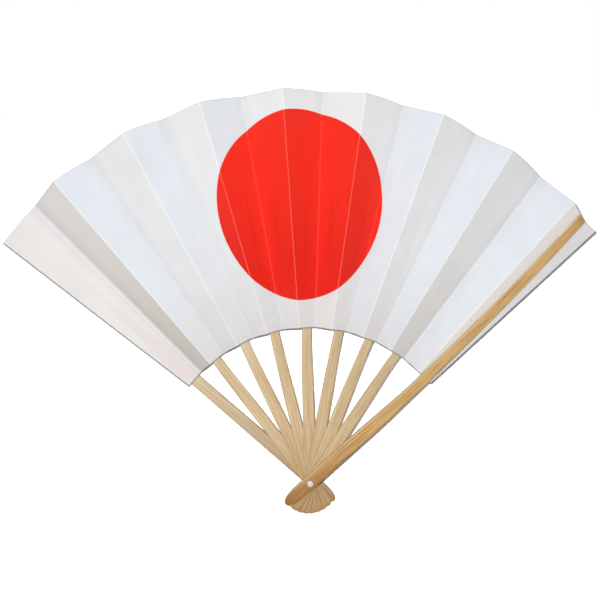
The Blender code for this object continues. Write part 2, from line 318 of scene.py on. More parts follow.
def foldSheet():
    lines = sheetLines()
    deselectAll()
    bpy.ops.mesh.primitive_grid_add(x_subdivisions=1, y_subdivisions=leaf["rows"], size=1)
    sheet = bpy.context.object
    sheet.name = "leafSheet"
    bpy.ops.object.mode_set(mode="EDIT")
    pick(sheet, "faces", lambda face: False)
    pick(sheet, "verts", lambda vertex: vertex.co.x > 0)
    bpy.ops.mesh.delete(type="VERT")
    bpy.ops.mesh.select_all(action="SELECT")
    bpy.ops.transform.translate(value=(0.5, 0.5, 0))
    moveLine({"azimuth": 0.0, "rise": 0.0, "height": 0.0, "inner": 0.0, "outer": 1.0}, lines[0])
    for old, new in zip(lines, lines[1:]):
        bpy.ops.mesh.extrude_region_move()
        moveLine(old, new)
    mesh = bmesh.from_edit_mesh(sheet.data)
    mesh.faces.ensure_lookup_table()
    mesh.normal_update()
    if mesh.faces[0].normal.z < 0:
        bpy.ops.mesh.select_all(action="SELECT")
        bpy.ops.mesh.flip_normals()
    bpy.ops.object.mode_set(mode="OBJECT")
    return sheet, lines


def softenSheet(sheet, lines):
    # between its folds the paper isn't quite flat: a slow wave, least where a rib holds it
    free = sheet.vertex_groups.new(name="free")
    folds = {}
    for line in lines:
        folds.setdefault(line["panel"], []).append(line["azimuth"])
    for vertex in sheet.data.vertices:
        azimuth = flatAzimuth(vertex.co)
        line = min(lines, key=lambda one: abs(one["azimuth"] - azimuth))
        weight = 1.0
        if line["panel"] % 2:
            right, left = min(folds[line["panel"]]), max(folds[line["panel"]])
            fromMiddle = abs((line["azimuth"] - right) / (left - right) - 0.5)
            weight = leaf["gluedWave"] if leaf["halfWay"][0] < fromMiddle < leaf["halfWay"][1] else 0.0
        free.add([vertex.index], weight, "REPLACE")
    clouds = bpy.data.textures.new("paperWave", "CLOUDS")
    clouds.noise_scale = leaf["waveLength"]
    wave = sheet.modifiers.new("wave", "DISPLACE")
    wave.texture = clouds
    wave.texture_coords = "LOCAL"
    wave.vertex_group = "free"
    wave.mid_level = 0.5
    wave.strength = leaf["wave"]
    bpy.ops.object.modifier_apply(modifier=wave.name)
    bpy.data.textures.remove(clouds)
    sheet.vertex_groups.clear()


def thickenSheet(sheet, spans):
    mountains = [span["left"] for panel, span in spans.items() if panel % 2 and panel > 1]
    bpy.ops.object.mode_set(mode="EDIT")
    bpy.ops.mesh.select_mode(type="EDGE")

    def onMountain(edge):
        ends = [flatAzimuth(vertex.co) for vertex in edge.verts]
        return any(max(abs(end - fold) for end in ends) < leaf["onFold"] for fold in mountains)

    pick(sheet, "edges", onMountain)
    bpy.ops.mesh.bevel(offset=leaf["ridge"], segments=1, affect="EDGES", loop_slide=False)
    bpy.ops.mesh.select_mode(type="FACE")
    bpy.ops.object.mode_set(mode="OBJECT")
    wall = sheet.modifiers.new("wall", "SOLIDIFY")
    wall.thickness = leaf["thickness"]
    wall.offset = 0
    wall.use_even_offset = True
    wall.material_offset = 1
    wall.material_offset_rim = 2
    bpy.ops.object.modifier_apply(modifier=wall.name)


def cutPanels(sheet, spans):
    pieces = {}
    for panel in sorted(spans)[:-1]:
        span, following = spans[panel], spans[panel + 1]
        # a flattened mountain fold stays with the glued panel on its right
        spare = leaf["ridge"] * 0.9 if panel % 2 == 0 else 0.0

        def inPanel(face):
            centre = face.calc_center_median()
            distance = centre.xy.length * math.sin(flatAzimuth(centre) - span["right"])
            return distance > spare

        makeActive(sheet)
        bpy.ops.object.mode_set(mode="EDIT")
        pick(sheet, "faces", inPanel)
        bpy.ops.mesh.separate(type="SELECTED")
        bpy.ops.object.mode_set(mode="OBJECT")
        pieces[panel] = next(o for o in bpy.context.selected_objects if o is not sheet)
    pieces[max(spans)] = sheet
    for panel, piece in pieces.items():
        piece.name = piece.data.name = f"leafPanel{panel:02d}"
        makeActive(piece)
        bpy.ops.object.mode_set(mode="EDIT")
        bpy.ops.mesh.select_all(action="SELECT")
        bpy.ops.mesh.fill_holes(sides=0)
        bpy.ops.object.mode_set(mode="OBJECT")
        bpy.ops.object.shade_smooth_by_angle(angle=math.radians(leaf["smoothAngle"]))
    return pieces


def turnInPlane(stick, angle, reach):
    # turns the selection within a glued panel's plane, about a point on the panel's middle line
    foot = Vector((0, 0, panelHeight(stick)))
    azimuth = math.radians(fan["azimuths"][stick])
    swings = [(azimuth, "Z", Vector()), (panelClimb, "X", foot), (panelRoll, "Y", foot)]
    for turn, axis, centre in swings:
        turnSelection(-turn, axis, centre)
    turnSelection(angle, "Z", foot + Vector((0, reach, 0)))
    for turn, axis, centre in reversed(swings):
        turnSelection(turn, axis, centre)


def followGuard(pieces, spans, lines):
    # the last glued panel turns with the bowed front guard, and the pleat beside it follows, less and less
    # towards its valley
    last = max(spans)
    outer = lines[-1]["outer"]
    outwards = Matrix.Rotation(math.radians(fan["azimuths"][frontStick]), 3, "Z") @ panelAlong
    # (share across the panel, degrees, how far the rim comes in), from the right so that none is picked twice
    turn, flare, rim = leaf["lastTurn"], leaf["lastFlare"], leaf["lastRim"]
    moves = {
        last - 1: [(1.0, turn, rim[0.0]), (0.5, turn / 2, rim[0.0] / 2)],
        last: [(share, turn + flare * share, pull) for share, pull in rim.items()],
    }
    for panel, columns in moves.items():
        span, piece = spans[panel], pieces[panel]
        near = (columns[0][0] - columns[1][0]) / 2 * (span["left"] - span["right"])
        makeActive(piece)
        bpy.ops.object.mode_set(mode="EDIT")
        bpy.ops.mesh.select_mode(type="VERT")
        for share, degrees, pull in columns:
            place = span["left"] - share * (span["left"] - span["right"])
            pick(piece, "verts", lambda vertex: abs(flatAzimuth(vertex.co) - place) < near)
            turnInPlane(frontStick, math.radians(degrees), outer)
            if pull:
                pick(piece, "verts",
                     lambda vertex: vertex.select and vertex.co.xy.length > outer - leaf["rimRow"])
                bpy.ops.transform.translate(value=-outwards * pull)
        bpy.ops.mesh.select_mode(type="FACE")
        bpy.ops.object.mode_set(mode="OBJECT")


def unfold(point, lines):
    # where a point of the folded leaf lies when the sheet is flat: its angle, its distance from the rivet's
    # axis and its distance from the rim
    azimuth = max(min(flatAzimuth(point), lines[0]["azimuth"]), lines[-1]["azimuth"])
    left, right = next((a, b) for a, b in zip(lines, lines[1:]) if azimuth >= b["azimuth"] - 1e-9)
    share = (left["azimuth"] - azimuth) / (left["azimuth"] - right["azimuth"])
    angle = left["unfolded"] + share * (right["unfolded"] - left["unfolded"])
    height = left["height"] + share * (right["height"] - left["height"])
    radius = (point - Vector((0, 0, height))).length
    return angle, radius, left["outer"] + share * (right["outer"] - left["outer"]) - radius


def addMaps(piece, *names):
    # all the layers first, since a new one moves those before it in memory
    for name in names:
        piece.data.uv_layers.new(name=name)
    return [piece.data.uv_layers[name].data for name in names]


def mapPanel(piece, panel, span, lines):
    # "sheet" is the whole leaf laid flat, in metres
    # "panel" is the share across one panel, from its mountain fold to its valley fold, and the distance out
    # "border" is the distance from the rim and from the nearer end of the sheet
    middle = lines[len(lines) // 2]["unfolded"]
    sheetMap, panelMap, borderMap = addMaps(piece, "sheet", "panel", "border")
    places = [unfold(vertex.co, lines) for vertex in piece.data.vertices]
    for loop in piece.data.loops:
        angle, radius, toRim = places[loop.vertex_index]
        share = (angle - span["from"]) / (span["to"] - span["from"])
        share = share if panel % 2 else 1 - share
        sheetMap[loop.index].uv = (radius * math.sin(angle - middle), radius * math.cos(angle - middle))
        panelMap[loop.index].uv = (share, radius)
        toEnd = radius * min(math.sin(angle), math.sin(lines[-1]["unfolded"] - angle))
        borderMap[loop.index].uv = (toRim * paper["edgeShadowShares"]["rim"], toEnd * paper["edgeShadowShares"]["end"])


def hingePanel(piece, panel):
    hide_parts(f"leaf_{panel:02d}")
    stick = (panel - 1) // 2
    if panel % 2:
        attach(piece, stickBody(stick))
        return
    lowFold, highFold = stickCreases(stick)[0], stickCreases(stick + 1)[1]
    lowFoot, highFoot = Vector((0, 0, panelHeight(stick))), Vector((0, 0, panelHeight(stick + 1)))
    low, high = lowFoot + lowFold * leaf["inner"], highFoot + highFold * leaf["inner"]
    outer = leafLines[-1]["outer"]
    if stick + 1 == frontStick:
        swing = Matrix.Rotation(math.radians(fan["azimuths"][frontStick]), 3, "Z")
        centre = highFoot + swing @ panelAlong * outer
        high = centre + Matrix.Rotation(math.radians(leaf["lastTurn"]), 3, swing @ panelUp) @ (high - centre)
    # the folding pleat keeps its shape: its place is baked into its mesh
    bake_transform(piece)


def stickBody(stick):
    return "rear_guard" if stick == 0 else "front_guard" if stick == frontStick else f"rib_{stick}"


paper = {
    # the bare sheet and its clouds; painted light: a cool tint on the pleats that face the lamps, a warm one on
    # the shaded panels at the left end
    "plain": ("#F3F3F3", "#EFEFEF"), "paintedCoolLight": ("#EBF0F6", "#E7ECF2"), "warm": ("#F3F0EE", "#EFECEA"),
    "innerEnd": "#DDD8D5", "overRib": "#EFE4DE", "paintedGuardBounce": "#FFFAF5", "paintedLightPastGuard": "#FDFCFB",
    "paintedValleyShade": "#D8D8DA", "paintedEdgeShadow": "#4F4B48", "paintedShadeTone": "#EFEBE5", "paintedFoldHighlight": "#FAFBFC",
    "disc": "#FF2B14", "discDark": "#F21F0C", "wornInk": "#FF5E4E", "thrownInk": "#F2C8C1", "streak": "#EEEBEB",
    "discPlace": (-0.0038, 0.1889, 0.0), "discWide": 1.09, "discWobble": 0.0006,
    "discEdge": (0.0643, 0.0647),        # the ink ends between these two radii
    "cloudSize": 0.022,
    "fibreSize": 0.0011,                 # single fibres, drawn about 1 mm wide to show at all
    "streakScale": (12, 14, 1),          # streaks across a panel, and in a metre outwards
    "edgeShadowShares": {"rim": 1.5, "end": 0.32, "inner": 0.5},   # the smaller the share, the wider the painted shadow
    # from where each thing begins to where it ends: distances from a fold, the rib's edge or a cut edge
    "mountainWear": (0.00016, 0.00052), "valleyWear": (0, 0.0012), "valleyShadeWidth": (0, 0.010),
    "ribEdge": (-0.0016, 0.0010), "edgeShadowWidth": (0, 0.0005),
    # the same, as distances from the rivet
    "ribReach": (0.100, 0.236), "ribShows": (0.130, 0.226), "darkerInwards": (0.100, 0.175), "paintedShadeReach": (0.149, 0.242),
    "inkDarkerInwards": (0.140, 0.205), "streaks": (0.150, 0.240),
    "ribHalf": (0.0040, 0.0010),         # half the rib's width at the two ends of its reach
}


def makePaper(name, ink=1.0, ribBehind=0.0, paintedGuardLightShare=0.0, shade=0.0, tint="plain"):
    # washi, mulberry paper rolled smooth and printed flat: dull and softly clouded, ink thin where it is creased
    material, tree = newMaterial(name)
    flat = addNode(tree, "UVMap", {"uv_map": "sheet"})
    own = addNode(tree, "UVMap", {"uv_map": "panel"})
    share, radius = addNode(tree, "SeparateXYZ", None, {0: own}).outputs[:2]
    # real distances across the panel: from its mountain fold, its valley fold and its middle
    width = addNode(tree, "Math", {"operation": "MULTIPLY", 1: panelAngle}, {0: radius})
    fromMountain = addNode(tree, "Math", {"operation": "MULTIPLY"}, {0: share, 1: width})
    fromValley = addNode(tree, "Math", {"operation": "SUBTRACT"}, {0: width, 1: fromMountain})
    offMiddle = addNode(tree, "Math", {"operation": "SUBTRACT", 1: 0.5}, {0: share})
    toMiddle = addNode(tree, "Math", {"operation": "ABSOLUTE"}, {0: offMiddle})
    fromMiddle = addNode(tree, "Math", {"operation": "MULTIPLY"}, {0: toMiddle, 1: width})

    cloudPlace = addNode(tree, "Mapping", {"Scale": (1 / paper["cloudSize"],) * 3}, {0: flat})
    cloud = addNode(tree, "TexNoise", {"Scale": 1.0, "Detail": 3.0}, {"Vector": cloudPlace})
    fibrePlace = addNode(tree, "Mapping", {"Scale": (1 / paper["fibreSize"],) * 3}, {0: flat})
    fibre = addNode(tree, "TexNoise", {"Scale": 1.0, "Detail": 4.0, "Roughness": 0.65, "Distortion": 0.8},
                    {"Vector": fibrePlace})

    # the rib behind a glued panel shows through, and lifts the paper a little along its edges
    ribHalf = addNode(tree, "MapRange", {"From": paper["ribReach"], "To": paper["ribHalf"]}, {"Value": radius})
    inside = addNode(tree, "Math", {"operation": "SUBTRACT"}, {0: ribHalf, 1: fromMiddle})
    overRib = addNode(tree, "MapRange", {**smooth, "From": paper["ribEdge"], "To": (0, ribBehind)},
                      {"Value": inside})
    fade = addNode(tree, "MapRange", {**smooth, "From": paper["ribShows"], "To": (1, 0)}, {"Value": radius})
    ribShow = addNode(tree, "Math", {"operation": "MULTIPLY"}, {0: overRib, 1: fade})

    # folds: the flattened mountain fold wears first
    mountain = addNode(tree, "MapRange", {**smooth, "From": paper["mountainWear"], "To": (1, 0)},
                       {"Value": fromMountain})
    valley = addNode(tree, "MapRange", {**smooth, "From": paper["valleyWear"], "To": (0.5, 0)},
                     {"Value": fromValley})
    folds = addNode(tree, "Math", {"operation": "MAXIMUM"}, {0: mountain, 1: valley})
    patchy = addNode(tree, "MapRange", {"From": (0.3, 0.7), "To": (0.45, 1)}, {"Value": fibre})
    wear = addNode(tree, "Math", {"operation": "MULTIPLY"}, {0: folds, 1: patchy})

    # the bare paper, and what lies over it
    clouded = addNode(tree, "MapRange", {"From": (0.35, 0.7)}, {"Value": cloud})
    colour = addNode(tree, "Mix", {**blended, 6: paper[tint][0], 7: paper[tint][1]}, {0: clouded})
    atInnerEnd = addNode(tree, "MapRange", {**smooth, "From": paper["darkerInwards"], "To": (0.4, 0)}, {"Value": radius})
    paintedValleyShade = addNode(tree, "MapRange", {**smooth, "From": paper["valleyShadeWidth"], "To": (0.4, 0)},
                       {"Value": fromValley})
    paintedShadeDepth = addNode(tree, "MapRange", {"From": paper["paintedShadeReach"], "To": (shade, shade * 0.2)}, {"Value": radius})
    for tone, depth, way in (
        ("paintedFoldHighlight", mountain, blended),      # painted highlight along the pressed mountain folds
        # darker towards the inner end
        ("innerEnd", atInnerEnd, blended),
        ("overRib", ribShow, blended),
        ("paintedValleyShade", paintedValleyShade, blended),       # painted shade near the valley folds, which takes back some of the light the pleats throw on each other
        ("paintedShadeTone", paintedShadeDepth, stained),        # painted shade on two panels, which the real fan folds steeper: most near the ribs
    ):
        colour = addNode(tree, "Mix", {**way, 7: paper[tone]}, {0: depth, 6: colour})
    # painted light on the last panel: brighter than the bare paper, with the warm tint that the guard's bamboo
    # throws on the strip to its left
    paintedLightPastGuard = addNode(tree, "MapRange", {**smooth, "From": (0.35, 0.65)}, {"Value": share})
    paintedLightBesideGuard = addNode(tree, "Mix", {**blended, 6: paper["paintedGuardBounce"], 7: paper["paintedLightPastGuard"]}, {0: paintedLightPastGuard})
    tinted = addNode(tree, "Mix", {**blended, 0: paintedGuardLightShare}, {6: colour, 7: paintedLightBesideGuard})
    # painted shadow lines darken the cut edges, widest at the ends of the sheet and along its inner side
    innerShare = paper["edgeShadowShares"]["inner"]
    fromInner = addNode(tree, "Math", {"operation": "MULTIPLY_ADD", 1: innerShare,
                                       2: -leaf["inner"] * innerShare}, {0: radius})
    border = addNode(tree, "UVMap", {"uv_map": "border"})
    toRim, toEnd = addNode(tree, "SeparateXYZ", None, {0: border}).outputs[:2]
    toEdge = addNode(tree, "Math", {"operation": "MINIMUM"}, {0: toRim, 1: toEnd})
    toAnyEdge = addNode(tree, "Math", {"operation": "MINIMUM"}, {0: toEdge, 1: fromInner})
    edgeShadowDepth = addNode(tree, "MapRange", {**smooth, "From": paper["edgeShadowWidth"], "To": (0.9, 0)},
                     {"Value": toAnyEdge})
    edgeShadowed = addNode(tree, "Mix", {**blended, 7: paper["paintedEdgeShadow"]}, {0: edgeShadowDepth, 6: tinted})

    # the disc is printed a little wide on the flat sheet, since the folds draw it in and bend its outline
    narrowed = addNode(tree, "Mapping", {"Scale": (1 / paper["discWide"], 1, 1)}, {0: flat})
    reach = addNode(tree, "VectorMath", {"operation": "DISTANCE", 1: paper["discPlace"]}, {0: narrowed})
    wobble = addNode(tree, "Math", {"operation": "MULTIPLY_ADD", 1: paper["discWobble"],
                                    2: -paper["discWobble"] / 2}, {0: fibre})
    edge = addNode(tree, "Math", {"operation": "ADD"}, {0: reach, 1: wobble})
    inDisc = addNode(tree, "MapRange", {"From": paper["discEdge"], "To": (ink, 0)}, {"Value": edge})
    # the ink is darker towards the inner end
    lowDown = addNode(tree, "MapRange", {"From": paper["inkDarkerInwards"], "To": (0.9, 0)}, {"Value": radius})
    inkDepth = addNode(tree, "Math", {"operation": "MULTIPLY_ADD", "use_clamp": True, 1: 0.4},
                       {0: cloud, 2: lowDown})
    inkTone = addNode(tree, "Mix", {**blended, 6: paper["disc"], 7: paper["discDark"]}, {0: inkDepth})
    # streaks run out from the ribs, where the printed sheet was creased and pressed
    streakPlace = addNode(tree, "Mapping", {"Scale": paper["streakScale"]}, {0: own})
    streaks = addNode(tree, "TexNoise", {"Scale": 1.0, "Detail": 1.0}, {"Vector": streakPlace})
    streaky = addNode(tree, "MapRange", {"From": (0.5, 0.68)}, {"Value": streaks})
    outwards = addNode(tree, "MapRange", {"From": paper["streaks"], "To": (1, 0)}, {"Value": radius})
    streakDepth = addNode(tree, "Math", {"operation": "MULTIPLY"}, {0: streaky, 1: outwards})
    # what the ink throws on the pleats beside it is paler than the ink itself
    bounced = addNode(tree, "LightPath").outputs["Is Diffuse Ray"]
    for tone, depth, way in (("streak", streakDepth, stained), ("wornInk", wear, blended),
                             ("thrownInk", bounced, blended)):
        inkTone = addNode(tree, "Mix", {**way, 7: paper[tone]}, {0: depth, 6: inkTone})
    printed = addNode(tree, "Mix", blended, {0: inDisc, 6: edgeShadowed, 7: inkTone})

    roughness = addNode(tree, "MapRange", {"To": (0.88, 0.62)}, {"Value": inDisc})
    relief = addNode(tree, "Math", {"operation": "MULTIPLY_ADD", 1: 0.12}, {0: fibre, 2: overRib})
    bump = addNode(tree, "Bump", {"Strength": 0.6, "Distance": 0.00012}, {"Height": relief})
    shader = addNode(tree, "BsdfPrincipled", {"Specular IOR Level": 0.3},
                     {"Base Color": printed, "Roughness": roughness, "Normal": bump})
    addNode(tree, "OutputMaterial", None, {"Surface": shader})
    return material


leafSheet, leafLines = foldSheet()
leafSpans = panelSpans(leafLines)
for spare in range(3):
    leafSheet.data.materials.append(None)
makeActive(leafSheet)
softenSheet(leafSheet, leafLines)
thickenSheet(leafSheet, leafSpans)
leafPanels = cutPanels(leafSheet, leafSpans)
washiBack = makePaper("washiBack", ink=0.05)
leafFinish = {
    "glued": makePaper("printedWashiOverRib", ribBehind=0.4),
    # painted light: the pleats that face the lamps take the cool tint
    "paintedLightGlued": makePaper("printedWashiOverRibPaintedLight", ribBehind=0.4, tint="paintedCoolLight"),
    "folding": makePaper("printedWashiPleat"),
    "paintedLightFolding": makePaper("printedWashiPleatPaintedLight", tint="paintedCoolLight"),
    # painted light: the two panels at the left end take the warm tint
    "rear": makePaper("printedWashiOverGuard", ribBehind=1.0, tint="warm"),
    # painted shade on the second panel, and at half strength on the fifteenth
    "paintedShadeFull": makePaper("printedWashiPaintedShadePleat", shade=1.0, tint="warm"),
    "paintedShadeHalf": makePaper("printedWashiPaintedShadePanel", ribBehind=0.4, shade=0.5),
    "front": makePaper("printedWashiUnderGuard", paintedGuardLightShare=0.9),
}
# the panels that differ from the others of their kind, most of them by painted light or painted shade
special = {1: "rear", 2: "paintedShadeFull", 15: "paintedShadeHalf", 17: "front", 3: "paintedLightGlued", 5: "paintedLightGlued", 7: "paintedLightGlued",
           12: "paintedLightFolding", 14: "paintedLightFolding", 16: "paintedLightFolding"}
for panel, piece in leafPanels.items():
    mapPanel(piece, panel, leafSpans[panel], leafLines)
    front = leafFinish[special.get(panel, "glued" if panel % 2 else "folding")]
    for slot, material in enumerate((front, washiBack, washiBack)):
        piece.data.materials[slot] = material
followGuard(leafPanels, leafSpans, leafLines)
for panel, piece in leafPanels.items():
    hingePanel(piece, panel)
print("leaf folded and cut:", len(leafPanels), "panels")

# Bamboo sticks: split, planed and rounded by hand; only the guards keep the hard skin
stickKinds = {
    "rib": {
        "width": 0.0082, "leafWidth": 0.0080, "tipWidth": 0.0018, "tail": 0.0212, "reach": 0.236,
        "tailRounding": 0.0048, "tipRounding": 0.0009, "holeOffset": 0.0,
        "thickness": 0.0015, "planed": 0.001005, "blade": 0.0005, "tipThickness": 0.0005,
        "edge": 0.0003, "lowEdge": 0.0003, "crown": 0.0, "bladeStart": 0.1046,
    },
    "frontGuard": {
        "width": 0.0094, "leafWidth": 0.0099, "tipWidth": 0.0081, "tail": 0.0217, "reach": 0.2554,
        "tailRounding": 0.0125, "tipRounding": 0.0014, "holeOffset": -0.0007,
        "thickness": 0.0026, "planed": 0.0018, "blade": 0.0018, "tipThickness": 0.0013,
        "edge": 0.0008, "lowEdge": 0.0003, "crown": 0.00045, "bladeStart": 0.1046,
    },
}
stickKinds["rearGuard"] = dict(stickKinds["frontGuard"], width=0.0088, leafWidth=0.0083, tipWidth=0.0072,
                               reach=0.2582, holeOffset=0.0007)
stickTurn = {"from": 0.030, "to": 0.098}       # along this stretch a stick twists to its panel's slope
stickShape = {
    "tail": (0.004, 0.015, 0.035, 0.07, 0.12, 0.19, 0.28, 0.4, 0.55, 0.75), "tip": (0.7, 0.45, 0.25, 0.1, 0.02),
    "oval": 2.2,               # the tail is an oval of this power
    "thinnest": 0.62,          # share of the thickness left at the very end
    "twistSteps": 12, "bladeSteps": 9, "smoothAngle": 40,
    "crownEdge": 0.3,          # how far the crown's bevel reaches to each side, as a share of the width
}
# the front guard leans out to the right of its panel and bends back, more and more towards its tip
frontBow = {"lean": 0.0372, "bend": -0.0605, "tipBend": -0.487}
rivetHole = {"radius": 0.00155, "depth": 0.08, "sides": 48}
culm = Vector((0.031, 0.47))     # how far apart on the bamboo stem two neighbouring sticks are cut
seats = {"rearGuard": 0.0017, "firstRib": 0.0061, "frontGuard": 0.0172}
slab, tiny = 0.0001, 1e-6        # length of a stick's first slab, and what counts as nothing
facing = 0.9                     # a face whose normal has this share of a direction faces that way


def easeIn(share):
    share = max(0.0, min(1.0, share))
    return share * share * (3 - 2 * share)


def kindOf(stick):
    return "rearGuard" if stick == 0 else "frontGuard" if stick == frontStick else "rib"


def seatAt(place, stick, seat, rise, bow, level):
    # middle of the stick's seat face at one distance from the rivet, and the roll there, in the stick's own frame
    offset = stickKinds[kindOf(stick)]["holeOffset"] * (1 - easeIn(place / stickTurn["to"]))
    if level:
        return Vector((offset, place, seat)), 0.0
    share = easeIn((place - stickTurn["from"]) / (stickTurn["to"] - stickTurn["from"]))
    aside = bow * place * (frontBow["lean"] + place * (frontBow["bend"] + place * frontBow["tipBend"])) + offset
    flat = Vector((aside, place, seat))
    seated = (Vector((0, 0, panelHeight(stick))) + panelAlong * place + panelAcross * aside
              + panelUp * fan["paperSeat"] * rise)
    return flat.lerp(seated, share), panelRoll * share


def stickStations(kind):
    # places along the stick with the width and thickness there: a long oval tail, a tip with rounded corners
    stations = []
    oval, thinnest = stickShape["oval"], stickShape["thinnest"]
    for share in stickShape["tail"]:
        size = (1 - (1 - share) ** oval) ** (1 / oval)
        stations.append((-kind["tail"] + share * kind["tailRounding"], kind["width"] * size,
                         kind["thickness"] * (thinnest + (1 - thinnest) * size)))
    stations.append((-kind["tail"] + kind["tailRounding"], kind["width"], kind["thickness"]))
    start = kind["tail"] / 3
    stations.append((-start, kind["width"], kind["thickness"]))
    for step in range(stickShape["twistSteps"] + 1):
        share = step / stickShape["twistSteps"]
        stations.append((start + (stickTurn["to"] - start) * share,
                         kind["width"] + (kind["leafWidth"] - kind["width"]) * share,
                         kind["thickness"] + (kind["planed"] - kind["thickness"]) * easeIn(share)))
    last = kind["reach"] - kind["tipRounding"]
    for step in range(stickShape["bladeSteps"] + 1):
        share = step / stickShape["bladeSteps"]
        place = kind["bladeStart"] + (last - kind["bladeStart"]) * share
        stations.append((place, kind["leafWidth"] + (kind["tipWidth"] - kind["leafWidth"]) * share,
                         kind["blade"] + (kind["tipThickness"] - kind["blade"]) * share))
    for share in stickShape["tip"]:
        size = math.sqrt(1 - (1 - share) ** 2)
        width = kind["tipWidth"] - 2 * kind["tipRounding"] * (1 - size)
        stations.append((kind["reach"] - share * kind["tipRounding"], width,
                         kind["tipThickness"] * (thinnest + (1 - thinnest) * size)))
    return stations


def startSection(kind, rise):
    # a thin slab across the stick with the section that all of it has: eased edges, crowned on the skin side
    bpy.ops.mesh.primitive_cube_add(size=1)
    piece = bpy.context.object
    bpy.ops.object.mode_set(mode="EDIT")
    bpy.ops.transform.resize(value=(kind["width"], slab, kind["thickness"]))
    bpy.ops.transform.translate(value=(0, 0, rise * kind["thickness"] / 2))
    outer = rise * kind["thickness"]
    bpy.ops.mesh.select_mode(type="EDGE")
    if kind["crown"]:
        bpy.ops.mesh.select_all(action="SELECT")
        bpy.ops.mesh.bisect(plane_co=(0, 0, 0), plane_no=(1, 0, 0))
        pick(piece, "edges",
             lambda edge: all(abs(v.co.x) < tiny and abs(v.co.z - outer) < tiny for v in edge.verts))
        bpy.ops.transform.translate(value=(0, 0, rise * kind["crown"]))
        bpy.ops.mesh.bevel(offset=kind["width"] * stickShape["crownEdge"], segments=4, affect="EDGES")
    for size, height in ((kind["edge"], outer), (kind["lowEdge"], 0.0)):
        pick(piece, "edges", lambda edge: abs(edge.verts[0].co.y - edge.verts[1].co.y) > slab / 2 and all(
            abs(abs(v.co.x) - kind["width"] / 2) < tiny and abs(v.co.z - height) < tiny for v in edge.verts))
        bpy.ops.mesh.bevel(offset=size, segments=3, affect="EDGES", clamp_overlap=False)
    bpy.ops.mesh.select_mode(type="FACE")
    return piece


def makeStick(name, stick, seat, rise, bow=0, level=False):
    # seat is the height at the rivet of the face that the stick is built from; rise is 1 upwards, -1 downwards
    kind = stickKinds[kindOf(stick)]
    stations = stickStations(kind)
    deselectAll()
    piece = startSection(kind, rise)
    piece.name = piece.data.name = name
    for spare in range(2):
        piece.data.materials.append(None)
    old = {"width": kind["width"], "thickness": kind["thickness"], "centre": Vector((0, slab / 2, 0)),
           "roll": 0.0}
    bpy.ops.mesh.select_all(action="SELECT")
    for number, (place, width, thickness) in enumerate(stations):
        centre, roll = seatAt(place, stick, seat, rise, bow, level)
        if number:
            bpy.ops.mesh.extrude_region_move()
        turnSelection(-old["roll"], "Y", old["centre"])
        bpy.ops.transform.resize(value=(width / old["width"], 1, thickness / old["thickness"]),
                                 center_override=old["centre"])
        bpy.ops.transform.translate(value=centre - old["centre"])
        turnSelection(roll, "Y", centre)
        old = {"width": width, "thickness": thickness, "centre": centre, "roll": roll}
        if not number:
            pick(piece, "faces", lambda face: face.normal.y > facing)
    bpy.ops.object.mode_set(mode="OBJECT")

    deselectAll()
    bpy.ops.mesh.primitive_cylinder_add(vertices=rivetHole["sides"], radius=rivetHole["radius"],
                                        depth=rivetHole["depth"])
    drill = bpy.context.object
    makeActive(piece)
    hole = piece.modifiers.new("rivetHole", "BOOLEAN")
    hole.operation = "DIFFERENCE"
    hole.solver = "EXACT"
    hole.object = drill
    bpy.ops.object.modifier_apply(modifier=hole.name)
    bpy.data.objects.remove(drill)
    mapStick(piece, stick, seat, rise, bow, level)
    bpy.ops.object.shade_smooth_by_angle(angle=math.radians(stickShape["smoothAngle"]))
    return piece


def mapStick(piece, stick, seat, rise, bow, level):
    # "grain" holds the place across and along the stick in metres, from another part of the culm for each stick
    # "span" holds the distance from the stick's middle towards its right edge, and the distance from the rivet
    grain, span = addMaps(piece, "grain", "span")
    for face in piece.data.polygons:
        for corner in face.loop_indices:
            point = piece.data.vertices[piece.data.loops[corner].vertex_index].co
            centre, roll = seatAt(point.y, stick, seat, rise, bow, level)
            local = Matrix.Rotation(-roll, 3, "Y") @ (point - centre)
            grain[corner].uv = Vector((local.x + local.z, point.y)) + culm * stick
            span[corner].uv = (local.x, point.y)
        centre, roll = seatAt(face.center.y, stick, seat, rise, bow, level)
        normal = Matrix.Rotation(-roll, 3, "Y") @ face.normal
        face.material_index = 1 if normal.z * rise > facing else 0


def swingStick(piece, stick):
    makeActive(piece)
    piece.rotation_euler = (0, 0, math.radians(fan["azimuths"][stick]))
    bpy.ops.object.transform_apply(location=True, rotation=True, scale=True)


# each pattern in the wood: its width and length in metres, its detail and its roughness
grainNoise = {"broad": (0.0026, 0.09, 2.0, 0.5), "bundle": (0.0009, 0.055, 1.0, 0.5)}
stickReaches = {"from": -0.02, "scorch": (-0.004, 0.03), "edgeShadeLeast": 0.2}       # distances from the rivet
singe = {"reach": (0.2475, 0.2550), "tone": "#B98450", "share": 0.55}     # the guard's tip, rounded by heat


